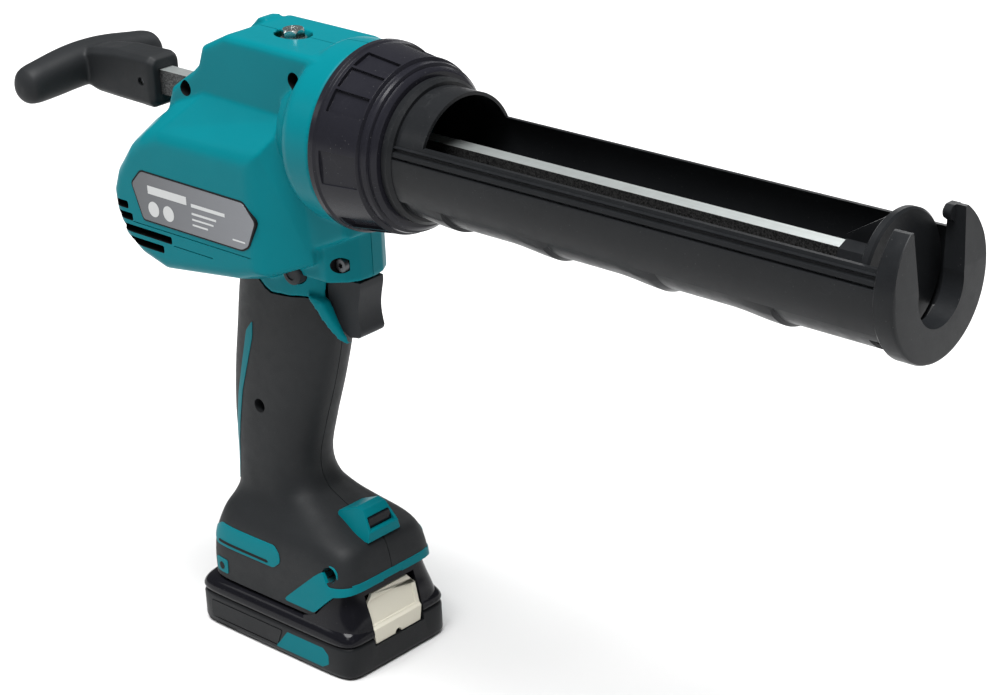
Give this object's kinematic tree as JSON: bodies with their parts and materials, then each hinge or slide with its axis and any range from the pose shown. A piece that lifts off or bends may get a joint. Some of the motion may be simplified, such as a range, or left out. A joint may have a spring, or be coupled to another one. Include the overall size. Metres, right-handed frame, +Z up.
{
  "type": "cordless caulking gun",
  "caption": "Battery caulking gun with an open trough for a sealant cartridge, a rack push rod with a T-handle, pistol grip with trigger, and a slide-on battery that it stands on.",
  "frame": {"origin": "on the battery's bottom face, in the centre plane, below the grip", "axes": "+X along the barrel to the nozzle end, +Y to the tool's left, +Z up; the gun stands on its battery at z = 0"},
  "size_m": [0.4813, 0.0824, 0.2962],
  "materials": {
    "teal_plastic": "fine moulded texture",
    "black_plastic": "satin",
    "smoke_plastic": "glossy",
    "rubber": "soft textured overmould",
    "steel": "drawn, lightly oiled",
    "dark_steel": "blackened",
    "gear_case_alloy": "cast",
    "bronze": "sintered",
    "magnet": "matt",
    "plate": "satin silver-grey film",
    "board": "solder mask",
    "lens": "clear",
    "cell": "wrapped can",
    "cream_plastic": "satin"
  },
  "bodies": {
    "body": {"housing_right": "teal_plastic", "housing_left": "teal_plastic", "grip_cover_right": "rubber", "grip_cover_left": "rubber", "name_plate": "plate", "gear_case": "gear_case_alloy", "pinion_bush_left": "bronze", "pinion_bush_right": "bronze", "idler_bush": "bronze", "rack_guide": "bronze", "guide_bolt": "steel", "motor_can": "dark_steel", "motor_end_cap": "black_plastic", "magnet_upper": "magnet", "magnet_lower": "magnet", "trigger_spring": "steel", "switch_body": "black_plastic", "terminal_block": "black_plastic", "controller_board": "board", "lamp_hood": "teal_plastic", "led_board": "board", "lamp_lens": "lens", "screw_rear": "dark_steel", "screw_front": "dark_steel", "screw_trigger": "dark_steel", "screw_grip": "dark_steel", "screw_foot": "dark_steel"},
    "push_rod": {"rack": "steel", "pull_handle": "black_plastic", "handle_pin": "dark_steel", "piston": "black_plastic", "piston_screw": "steel"},
    "pinion": {"rack_pinion": "dark_steel", "drive_gear": "dark_steel", "pinion_shaft": "steel"},
    "idler": {"idler_pinion": "dark_steel", "idler_shaft": "steel"},
    "rotor": {"motor_rotor": "steel", "cooling_fan": "black_plastic"},
    "holder": {"cartridge_holder": "black_plastic", "end_cap": "black_plastic"},
    "ring": {"locking_ring": "smoke_plastic"},
    "trigger": {"trigger": "black_plastic"},
    "lock_button": {"lock_button": "black_plastic"},
    "battery": {"battery_lower_case": "black_plastic", "battery_upper_case": "smoke_plastic", "cell_right": "cell", "cell_middle": "cell", "cell_left": "cell", "battery_board": "board", "release_spring": "steel"},
    "release_button": {"release_button": "cream_plastic"}
  },
  "joints": [
    {"name": "rod_slide", "type": "slide", "parent": "body", "child": "push_rod", "axis": [1, 0, 0], "range_m": [-0.225, 0]},
    {"name": "pinion_turn", "type": "hinge", "parent": "body", "child": "pinion", "pos_m": [0.01, 0, 0.24145], "axis": [0, 1, 0], "range_deg": [-1440, 5]},
    {"name": "idler_turn", "type": "hinge", "parent": "body", "child": "idler", "pos_m": [0.01, 0, 0.21245], "axis": [0, 1, 0], "range_deg": [-5, 3190]},
    {"name": "rotor_turn", "type": "hinge", "parent": "body", "child": "rotor", "pos_m": [-0.047, 0, 0.213], "axis": [1, 0, 0], "continuous": true},
    {"name": "holder_swivel", "type": "hinge", "parent": "body", "child": "holder", "pos_m": [0.076, 0, 0.255], "axis": [1, 0, 0], "range_deg": [-180, 180]},
    {"name": "ring_turn", "type": "hinge", "parent": "body", "child": "ring", "pos_m": [0.0766, 0, 0.255], "axis": [1, 0, 0], "range_deg": [0, 360]},
    {"name": "trigger_pull", "type": "slide", "parent": "body", "child": "trigger", "axis": [-1, 0, 0], "range_m": [0, 0.006], "stiffness_N_per_m": 800, "springref_m": -0.004, "deforming": ["trigger_spring"]},
    {"name": "lock_slide", "type": "slide", "parent": "body", "child": "lock_button", "axis": [0, 1, 0], "range_m": [-0.0025, 0.0025]},
    {"name": "battery_slide", "type": "slide", "parent": "body", "child": "battery", "axis": [1, 0, 0], "range_m": [0, 0.1]},
    {"name": "button_press", "type": "slide", "parent": "battery", "child": "release_button", "axis": [-1, 0, 0], "range_m": [0, 0.0025], "stiffness_N_per_m": 1200, "springref_m": -0.002, "deforming": ["release_spring"]}
  ],
  "couplings": [
    {"joint": "pinion_turn", "follows": "rod_slide", "rad_per_m": 111.11},
    {"joint": "idler_turn", "follows": "rod_slide", "rad_per_m": -246.91}
  ]
}
